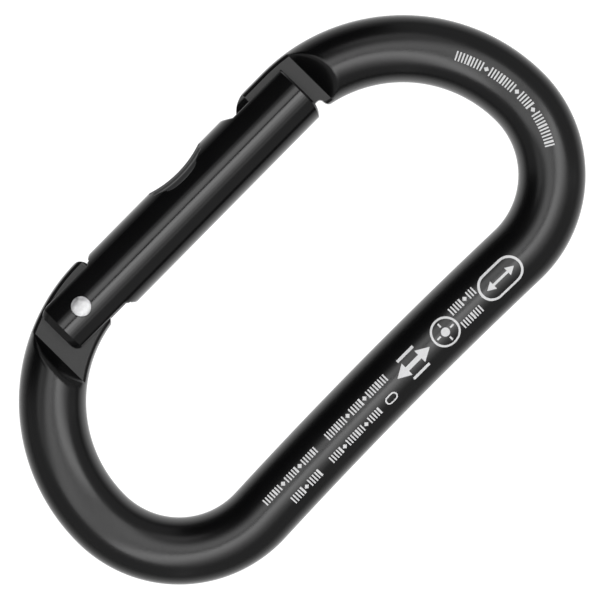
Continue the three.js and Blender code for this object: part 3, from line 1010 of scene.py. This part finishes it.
def tick_groups(sheet, first, v, height, groups):
    """Groups of equal ticks, each fifth one thick, with a diamond between the groups."""
    u = first
    for group, ticks in enumerate(groups):
        if group:
            dot(sheet, u + TICK_PITCH / 2, v, DIAMOND_R, sides=4)
            u += 2 * TICK_PITCH
        for tick in range(ticks):
            stroke(sheet, u, v, TICK if (tick + 1) % FIFTH else THICK_TICK, height)
            u += TICK_PITCH


# %% [markdown]
# The flat sheet is then cut into narrow slices, so that it can bend, given a thickness of a few
# hundredths of a millimetre, and wrapped on the bar: u follows the centreline and v goes round the
# section, like a label on a bottle.


# %% Wrapping signs on the bar
MARK_SINK = 0.05
MARK_PROUD = 0.014
SLICE = 0.3


def spine_track(u):
    """Centre and outward direction of the spine at a distance u from its middle."""
    centre_x = BEND_X + (SPINE_BOW_R + SPINE_BEND_R) * math.cos(SPINE_BOW_ANGLE)
    turn = u / SPINE_BOW_R
    outward = Vector((math.cos(turn), -math.sin(turn), 0))
    return Vector((centre_x, 0, 0)) - SPINE_BOW_R * outward, outward


def crown_track(u):
    """The same for the crown at the nose end: u is 0 where its two bends meet."""
    radius, centre_y = (SPINE_BEND_R, SPINE_BEND_Y) if u > 0 else (GATE_BEND_R, GATE_BEND_Y)
    turn = math.pi / 2 - u / radius
    outward = Vector((math.cos(turn), math.sin(turn), 0))
    return Vector((BEND_X, centre_y, 0)) + radius * outward, outward


def wrap(sheet, track):
    """Slices a flat sheet of signs, thickens it and lays it round the bar along a track."""
    for direction, reach, width in ((Vector((0, 1, 0)), 5, SLICE), (Vector((1, 0, 0)), 34, 0.8)):
        for step in range(-int(reach / width), int(reach / width) + 1):
            parts = sheet.verts[:] + sheet.edges[:] + sheet.faces[:]
            where = direction * (step * width + 0.013)
            bmesh.ops.bisect_plane(sheet, geom=parts, dist=1e-4, plane_co=where, plane_no=direction)
    made = bmesh.ops.extrude_face_region(sheet, geom=sheet.faces[:])["geom"]
    top = {part for part in made if isinstance(part, bmesh.types.BMVert)}
    for vert in sheet.verts:
        centre, outward = track(vert.co.x)
        radius = BAR_R + (MARK_PROUD if vert in top else -MARK_SINK)
        round_bar = vert.co.y / BAR_R
        vert.co = centre + outward * (radius * math.sin(round_bar))
        vert.co.z = radius * math.cos(round_bar)
    bmesh.ops.recalc_face_normals(sheet, faces=sheet.faces[:])
    return sheet


# %% [markdown]
# The signs stand in two rows along the spine, with larger ones across both rows. One row of ticks
# follows the crown at the nose end.


# %% The signs on the spine and the crown
INNER_ROW = -0.9
OUTER_ROW = 2.3
OVAL = (25.1, 0.75)
TARGET = (12.6, 0.8)
TARGET_R = 2.55
TARGET_BAR = 1.45
BIG_ARROW = (5.4, 0.7)
BESIDE_ARROW = 2.0
SMALL_OVAL = (-1.2, OUTER_ROW)
# Each row: where its first tick stands along and across the bar, how tall a tick is, and how many
# ticks each group has.
SPINE_ROWS = (
    (15.5, INNER_ROW, 1.4, (5, 3)),
    (15.5, OUTER_ROW - 0.2, 1.4, (8,)),
    (-13.0, INNER_ROW, 1.35, (8, 5, 8)),
    (-15.2, OUTER_ROW, 1.35, (5, 7, 5)),
    (-24.2, OUTER_ROW, 1.5, (5, 5)),
    (-27.6, INNER_ROW, 1.2, (7, 5, 6)),
)
CROWN_ROW = (-12.3, 0.0, 1.6, (9, 9, 5, 11))


def target(sheet, u, v):
    """A ring with a dot in its middle and four short bars pointing at it."""
    oval_ring(sheet, u, v, TARGET_R, 0.36)
    dot(sheet, u, v, 0.75)
    for turn in (0, 90):
        for side in (-1, 1):
            across = math.radians(turn)
            bar_u = u + side * TARGET_BAR * math.cos(across)
            bar_v = v + side * TARGET_BAR * math.sin(across)
            stroke(sheet, bar_u, bar_v, 0.75, 0.3, turn)


def spine_signs():
    sheet = bmesh.new()
    oval_ring(sheet, *OVAL, 2.5, 0.42, stretch=3.6)
    arrow(sheet, *OVAL, 6.0, 0.42, 0.95)
    target(sheet, *TARGET)
    arrow(sheet, *BIG_ARROW, 7.4, 0.8, 1.5)
    for side in (-BESIDE_ARROW, BESIDE_ARROW):
        stroke(sheet, BIG_ARROW[0], BIG_ARROW[1] + side, 3.6, 0.5)
    oval_ring(sheet, *SMALL_OVAL, 0.75, 0.25, stretch=0.9)
    for row in SPINE_ROWS:
        tick_groups(sheet, *row)
    return wrap(sheet, spine_track)


def crown_signs():
    sheet = bmesh.new()
    tick_groups(sheet, *CROWN_ROW)
    return wrap(sheet, crown_track)


marks = together(spine_signs(), crown_signs())
finish_piece(marks, "laser_marks", "frame", [LASER_PALE])

# %% [markdown]
# ## The gate
# The gate is a straight piece of the same bar. Its sides are milled flat round the hinge and on the
# outer side of its nose end, its ends are chamfered, and a form cutter has hollowed the side where
# the thumb pushes. First a round bar is pulled from the hinge end to the nose end.

# %% The gate's bar
GATE_FOOT_Y = gate_low.y
GATE_END_Y = gate_high.y
SLOT_Z = 2.4
EAR_BEVEL = (0.7, 1.1)
EAR_HALF_WIDTH = 4.35
EAR_TOP_Y = PIVOT_Y + 5.35
EAR_RUN_OUT = 1.4
INNER_CORNER = (1.1, 1.1)
OUTER_CORNER = (1.1, 2.1)
NOSE_FLAT = 4.35
NOSE_FLAT_Y = GATE_END_Y - 11.1
FLAT_RUN_OUT = 1.7
END_CHAMFER = 0.35
HEEL_ACROSS = 2.6
HEEL_DOWN = 0.95
HEEL_ZONE = 2.5


def cap_with_rings(bm, ring, centre, shares):
    """Closes the end of a bar with rings that shrink towards its centre, and a last face."""
    for share in shares:
        made = bmesh.ops.extrude_edge_only(bm, edges=ring)["geom"]
        fresh = [part for part in made if isinstance(part, bmesh.types.BMVert)]
        space = Matrix.Translation([-place for place in centre])
        bmesh.ops.scale(bm, vec=(share, 1, share), space=space, verts=fresh)
        known = set(fresh)
        ring = [edge for edge in end_ring(made) if known.issuperset(edge.verts)]
    bmesh.ops.contextual_create(bm, geom=ring)


def round_gate():
    bm = bmesh.new()
    first = bar_ring(bm, GATE_X, GATE_FOOT_Y, BAR_R, SLOT_Z)
    ear_zone = EAR_BEVEL[1]
    ring = pull_straight(bm, first, ear_zone, 8)
    ring = pull_straight(bm, ring, EAR_TOP_Y + 1.8 - GATE_FOOT_Y - ear_zone, 50)
    ring = pull_straight(bm, ring, NOSE_FLAT_Y - 2 - EAR_TOP_Y - 1.8, 110)
    ring = pull_straight(bm, ring, GATE_END_Y - END_CHAMFER - NOSE_FLAT_Y + 2, 54)
    ring = pull_straight(bm, ring, END_CHAMFER, 3)
    cap_with_rings(bm, ring, (GATE_X, GATE_END_Y, 0), (0.8, 0.75, 0.7, 0.5))
    cap_with_rings(bm, first, (GATE_X, GATE_FOOT_Y, 0), (0.8, 0.7))
    bmesh.ops.recalc_face_normals(bm, faces=bm.faces[:])
    return bm


gate = round_gate()
print(f"round gate: {len(gate.faces)} faces")


# %% [markdown]
# Then the same tube is shaped along its length: chamfers at both ends, flats beside the hinge and on
# the outer side of the nose end, rounded corners at the foot, and a heel that slopes away inwards.


# %% Flats and chamfers of the gate
FLAT_EDGE_ROUND = 0.14


def taper(y):
    """Share of the full radius that the chamfers leave at a height y."""
    bevel_in, bevel_up = EAR_BEVEL
    from_foot = (y - GATE_FOOT_Y) / bevel_up
    from_end = (GATE_END_Y - y) / END_CHAMFER
    cut_foot = bevel_in * (1 - from_foot) if from_foot < 1 else 0
    cut_end = END_CHAMFER * (1 - from_end) if from_end < 1 else 0
    return 1 - (cut_foot + cut_end) / BAR_R


def corner_loss(y, corner):
    """How much a rounded corner at the foot, so wide and so high, takes off the width at y."""
    width, height = corner
    into_corner = min(max(0, 1 - (y - GATE_FOOT_Y) / height), 1)
    return width * (1 - math.sqrt(1 - into_corner**2))


def ear_limit(y, corner):
    """Half the width that the flats and a rounded corner leave at the hinge end."""
    run_out = max(0, y - EAR_TOP_Y) * (BAR_R - EAR_HALF_WIDTH) / EAR_RUN_OUT
    return EAR_HALF_WIDTH + run_out - corner_loss(y, corner)


def outer_limit(y):
    """How far the gate may stand out towards its outer side."""
    nose = NOSE_FLAT + max(0, NOSE_FLAT_Y - y) * (BAR_R - NOSE_FLAT) / FLAT_RUN_OUT
    return min(ear_limit(y, OUTER_CORNER), nose)


def shape_gate(bm):
    for vert in bm.verts:
        share = taper(vert.co.y)
        across = (vert.co.x - GATE_X) * share
        vert.co.z *= share
        side = math.copysign(1, across)
        limit = ear_limit(vert.co.y, INNER_CORNER) if side > 0 else outer_limit(vert.co.y)
        across = side * soft_min(abs(across), limit, FLAT_EDGE_ROUND)
        vert.co.x = GATE_X + across
        heel = max(0, across - (BAR_R - HEEL_ACROSS)) / HEEL_ACROSS
        near_end = max(0, (vert.co.y - GATE_END_Y) / HEEL_ZONE + 1)
        vert.co.y -= HEEL_DOWN * heel * heel * near_end * near_end


shape_gate(gate)

# %% [markdown]
# The thumb hollow is the mark of a wide wheel pressed into the side of the gate. The wheel is
# narrowest at its middle, so the floor of the hollow stays crowned, and fine grooves on it leave
# ribs along the hollow. Spinning the wheel's profile through a part of a turn is enough.

# %% Thumb hollow
THUMB_Y = 0.5
THUMB_DEPTH = 1.0
THUMB_R = 18
THUMB_CROWN_R = 7.7
RIB_PITCH = 1.5
RIB_DEPTH = 0.085
WHEEL_POINTS = 240
WHEEL_SWEEP = math.radians(46)
WHEEL_HUB = 8


def thumb_wheel():
    """The part of the wheel that meets the gate. Its axle stands along z."""
    axle_x = GATE_X - BAR_R + THUMB_DEPTH - THUMB_R
    half_height = BAR_R + 0.5
    hub_x = axle_x + WHEEL_HUB
    bm = bmesh.new()
    at = bmesh.ops.create_vert(bm, co=(hub_x, THUMB_Y, -half_height))["vert"][0]
    first = at
    for step in range(WHEEL_POINTS + 1):
        z = half_height * (2 * step / WHEEL_POINTS - 1)
        radius = THUMB_R + THUMB_CROWN_R - math.sqrt(THUMB_CROWN_R**2 - z * z)
        radius += RIB_DEPTH * math.cos(2 * math.pi * z / RIB_PITCH)
        at = bmesh.ops.extrude_vert_indiv(bm, verts=[at])["verts"][0]
        at.co = (axle_x + radius, THUMB_Y, z)
    at = bmesh.ops.extrude_vert_indiv(bm, verts=[at])["verts"][0]
    at.co = (hub_x, THUMB_Y, half_height)
    bmesh.ops.contextual_create(bm, geom=[first, at])
    turn = Matrix.Rotation(-WHEEL_SWEEP / 2, 3, "Z")
    bmesh.ops.rotate(bm, cent=(axle_x, THUMB_Y, 0), matrix=turn, verts=bm.verts[:])
    profile = bm.edges[:]
    last = pull_round(bm, profile, (axle_x, THUMB_Y), WHEEL_SWEEP, 60)
    for rim in (profile, last):
        bmesh.ops.contextual_create(bm, geom=rim)
    bmesh.ops.recalc_face_normals(bm, faces=bm.faces[:])
    return bm


# %% [markdown]
# The fork at the foot straddles the lug, and the slot at the nose end drops over the nose. Both
# are cut with a cutter that flares at its mouth, which leaves a small chamfer on the edges. The
# hole for the spring runs up from the fork's floor, and the rivet's hole widens at both ends.

# %% Slots and holes of the gate
FORK_FLOOR_Y = PIVOT_Y + 6.1
EDGE_BREAK = 0.18
FLARE_PAST = 0.3
FLARE_OUT = 3
SLOT_BACK_X = NECK_INNER_X + 0.25
SLOT_STEP_Y = HEAD_STEP_Y + 0.25
SLOT_FOOT_Y = NOSE_TIP_Y - 0.5
HEAD_SLOT_Z = HEAD_Z + 0.25
SPRING_BORE_R = 2.08
SPRING_BORE_TOP_Y = FORK_FLOOR_Y + 11.5
RIVET_R = 1.45
RIVET_HEAD_R = 1.7
RIVET_RIM_Z = BAR_R - 0.35
RIVET_UNDER_Z = RIVET_RIM_Z - 0.5
PRESS_GAP = 0.02


def stand_along_y(bm, low, high):
    """Turns a plate drawn as (x, z) so that its thickness runs along y, from low to high."""
    upright = Matrix.Rotation(math.pi / 2, 3, "X")
    bmesh.ops.rotate(bm, cent=(0, 0, 0), matrix=upright, verts=bm.verts[:])
    reach = [vert.co.y for vert in bm.verts]
    bmesh.ops.translate(bm, verts=bm.verts[:], vec=(0, low - min(reach), 0))
    bmesh.ops.recalc_face_normals(bm, faces=bm.faces[:])
    return bm


def mouth(edge_x, outward, half):
    """Points round the flared mouth of a slot, from its upper edge to its lower edge."""
    flare = half + EDGE_BREAK + FLARE_PAST
    steps = (-EDGE_BREAK, FLARE_PAST, FLARE_OUT)
    inner_x, flare_x, outer_x = [edge_x + outward * step for step in steps]
    upper = [(inner_x, half), (flare_x, flare), (outer_x, flare)]
    return upper + [(x, -z) for x, z in reversed(upper)]


def flared_slot(back_x, half, mouth_x, low, high):
    """A slot open towards the outer side, with its edges broken where it leaves the flat."""
    pen = Pen(back_x, -half)
    pen.through((back_x, half), *mouth(mouth_x, -1, half))
    return stand_along_y(pen.plate(0, high - low), low, high)


def fork_cutter():
    """Open on both sides, with its edges broken at both flats."""
    left = mouth(GATE_X - EAR_HALF_WIDTH, -1, SLOT_Z)
    right = mouth(GATE_X + EAR_HALF_WIDTH, 1, SLOT_Z)
    start, *others = left + right[::-1]
    low = GATE_FOOT_Y - MARGIN
    pen = Pen(*start)
    pen.through(*others)
    return stand_along_y(pen.plate(0, FORK_FLOOR_Y - low), low, FORK_FLOOR_Y)


def turned(profile, axis_x, axis_y, sides):
    """Spins a profile of (radius, z) points round an upright axis. It starts and ends on it."""
    bm = bmesh.new()
    at = bmesh.ops.create_vert(bm, co=(axis_x, axis_y, profile[0][1]))["vert"][0]
    for radius, z in profile[1:]:
        at = bmesh.ops.extrude_vert_indiv(bm, verts=[at])["verts"][0]
        at.co = (axis_x + radius, axis_y, z)
    bmesh.ops.spin(
        bm,
        geom=bm.verts[:] + bm.edges[:],
        cent=(axis_x, axis_y, 0),
        axis=(0, 0, 1),
        dvec=(0, 0, 0),
        angle=2 * math.pi,
        steps=sides,
        use_merge=True,
    )
    bmesh.ops.remove_doubles(bm, verts=bm.verts[:], dist=SAME_PLACE)
    bmesh.ops.recalc_face_normals(bm, faces=bm.faces[:])
    return bm


def rivet_hole():
    shank, head = RIVET_R + PRESS_GAP, RIVET_HEAD_R + PRESS_GAP
    half = [(shank, RIVET_UNDER_Z), (head, RIVET_RIM_Z), (head + 0.04, BAR_R + 1)]
    upper = half + [(0, BAR_R + 1)]
    lower = [(radius, -z) for radius, z in reversed(upper)]
    return turned(lower + upper, PIVOT_X, PIVOT_Y, 64)


def spring_bore():
    low = FORK_FLOOR_Y - 1
    pen = Pen(PIVOT_X + PLUNGER_OFFSET + SPRING_BORE_R, 0)
    pen.arc(PIVOT_X + PLUNGER_OFFSET, 0, 360 * (1 - 1 / 40), 39)
    return stand_along_y(pen.plate(0, SPRING_BORE_TOP_Y - low), low, SPRING_BORE_TOP_Y)


flat_x = GATE_X - NOSE_FLAT
neck_slot = flared_slot(SLOT_BACK_X, SLOT_Z, flat_x, SLOT_STEP_Y - 0.5, GATE_END_Y + MARGIN)
head_slot = flared_slot(SLOT_BACK_X, HEAD_SLOT_Z, flat_x, SLOT_FOOT_Y, SLOT_STEP_Y)
holes = together(rivet_hole(), spring_bore())
gate = carve(gate, thumb_wheel(), together(fork_cutter(), neck_slot), head_slot, holes)
print(f"cut gate: {len(gate.faces)} faces")

# %% [markdown]
# The gate also has two finishes: matt black where the thumb wheel has pressed, and satin black
# everywhere else.


# %% The finished gate
def mark_hollow(bm):
    """Gives the faces inside the thumb hollow their own finish."""
    for face in bm.faces:
        middle = face.calc_center_median()
        sunk = math.hypot(middle.x - GATE_X, middle.z) < BAR_R - 0.03
        close = abs(middle.y - THUMB_Y) < 7 and middle.x < GATE_X - 1
        face.material_index = int(sunk and close and abs(face.normal.y) < 0.5)


mark_hollow(gate)
blacks = [SATIN_BLACK, MATT_BLACK]
finish_piece(gate, "bar_gate", "gate_arm", blacks, "gate")

# %% [markdown]
# ## The rivet
# A rivet is a plain pin whose ends are spread with a punch until they fill the flared hole. Its
# profile is a straight shank, a flare and a low dome with a soft rim, spun once round.

# %% Rivet
RIVET_DOME = 0.3
RIM_SOFT = 0.09
DOME_POWER = 2.6
DENT_DEPTH = 0.035
DENT_SINK = 0.02
DENT_PITCH = 1.6


def make_rivet():
    end = [(RIVET_R, RIVET_UNDER_Z), (RIVET_HEAD_R, RIVET_RIM_Z - RIM_SOFT)]
    steps = 14
    for step in range(steps + 1):
        angle = math.pi / 2 * step / steps
        radius = (RIVET_HEAD_R - 0.02) * math.cos(angle)
        height = RIVET_RIM_Z + RIVET_DOME * (1 - (radius / RIVET_HEAD_R) ** DOME_POWER)
        end.append((radius if step < steps else 0, height))
    profile = [(radius, -z) for radius, z in reversed(end)] + end
    bm = turned(profile, PIVOT_X, PIVOT_Y, 72)
    for vert in bm.verts:
        across = math.hypot(vert.co.x - PIVOT_X, vert.co.y - PIVOT_Y)
        if abs(vert.co.z) > RIVET_RIM_Z and across < RIVET_HEAD_R * 0.93:
            dent = noise.noise(Vector((vert.co.x, vert.co.y, vert.co.z)) * DENT_PITCH)
            outward = math.copysign(1, vert.co.z)
            vert.co.z += outward * (DENT_DEPTH * dent - DENT_SINK)
    finish_piece(bm, "rivet", "gate_arm", [RIVET_STEEL], "hinge_rivet")


make_rivet()

# %% [markdown]
# ## Spring and plunger
# They sit in the hole inside the gate. The spring has closed ends, where the last turn lies on the
# one before it, and open turns between. Spinning a small circle with a step along the axis winds
# it, first with a small step, then with a wide one, then with a small one again.

# %% Spring
SPRING_R = 1.5
WIRE_R = 0.4
SPRING_LOW_Y = FORK_FLOOR_Y + 2.9
SPRING_HIGH_Y = SPRING_BORE_TOP_Y - 0.1
END_TURNS = 1.0
OPEN_TURNS = 4.5
STEPS_PER_TURN = 32
SPRING_STEEL = bare_steel("spring_wire", 0.5, 0.3, (PIVOT_X, 0, 0), (math.pi / 2, 0, 0), 0.3, 0.6)


def make_spring():
    centre = (PIVOT_X + PLUNGER_OFFSET, 0, 0)
    end_rise = 2 * WIRE_R * 1.03
    room = SPRING_HIGH_Y - SPRING_LOW_Y - 2 * WIRE_R
    open_rise = (room - 2 * END_TURNS * end_rise) / OPEN_TURNS
    bm = bmesh.new()
    start = Matrix.Translation((centre[0] + SPRING_R, SPRING_LOW_Y + WIRE_R, 0))
    bmesh.ops.create_circle(bm, segments=14, radius=WIRE_R * 0.98, matrix=start)
    first = bm.edges[:]
    ring = first
    for turns, rise in ((END_TURNS, end_rise), (OPEN_TURNS, open_rise), (END_TURNS, end_rise)):
        made = bmesh.ops.spin(
            bm,
            geom=ring + list({vert for edge in ring for vert in edge.verts}),
            cent=centre,
            axis=(0, 1, 0),
            dvec=(0, rise / STEPS_PER_TURN, 0),
            angle=2 * math.pi * turns,
            steps=round(turns * STEPS_PER_TURN),
        )
        ring = end_ring(made["geom_last"])
    for rim in (first, ring):
        bmesh.ops.contextual_create(bm, geom=rim)
    bmesh.ops.recalc_face_normals(bm, faces=bm.faces[:])
    steel = [SPRING_STEEL]
    return finish_piece(bm, "spring", "gate_arm", steel, "gate_spring")


spring = make_spring()
slide = next(joint for joint in frame["joints"] if joint["name"] == "plunger_slide")
travel = slide["range_m"][1] / MM
keep = 1 - travel / (SPRING_HIGH_Y - SPRING_LOW_Y)
anchor = (PIVOT_X * MM, SPRING_HIGH_Y * MM, MID_Z * MM)
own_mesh(spring)
print(f"the spring keeps {keep:.2f} of its length with the gate open")

# %% [markdown]
# The plunger is turned from rod: a round tip that slides on the cam face, a collar that carries
# the spring, and a pilot that keeps the spring centred. A spin makes it upright, and it is then
# laid along the gate.

# %% Plunger
TIP_BALL_R = 1.2
COLLAR_R = 2.0
COLLAR_T = 1.2
COLLAR_Y = FORK_FLOOR_Y + 1.6
PILOT_R = 1.0
PILOT_L = 1.6
PLUNGER_STEEL = bare_steel(
    "plunger_steel", 0.6, 0.24, (PIVOT_X + PLUNGER_OFFSET, 0, 0), (math.pi / 2, 0, 0), 0.2, 0.5
)


def make_plunger():
    tip = PIVOT_Y + CAM_START + 0.2
    profile = []
    steps = 12
    for step in range(steps + 1):
        angle = math.pi / 2 * step / steps
        profile.append((TIP_BALL_R * math.sin(angle), tip + TIP_BALL_R * (1 - math.cos(angle))))
    edge = 0.12
    top = COLLAR_Y + COLLAR_T
    profile += [
        (TIP_BALL_R, COLLAR_Y),
        (COLLAR_R - edge, COLLAR_Y),
        (COLLAR_R, COLLAR_Y + edge),
        (COLLAR_R, top - edge),
        (COLLAR_R - edge, top),
        (PILOT_R, top),
        (PILOT_R, top + PILOT_L - edge),
        (PILOT_R - edge, top + PILOT_L),
        (0, top + PILOT_L),
    ]
    bm = turned(profile, 0, 0, 48)
    lay = Matrix.Rotation(-math.pi / 2, 3, "X")
    bmesh.ops.rotate(bm, cent=(0, 0, 0), matrix=lay, verts=bm.verts[:])
    bmesh.ops.translate(bm, vec=(PIVOT_X + PLUNGER_OFFSET, 0, 0), verts=bm.verts[:])
    steel = [PLUNGER_STEEL]
    finish_piece(bm, "plunger_pin", "plunger", steel, "spring_plunger")


make_plunger()
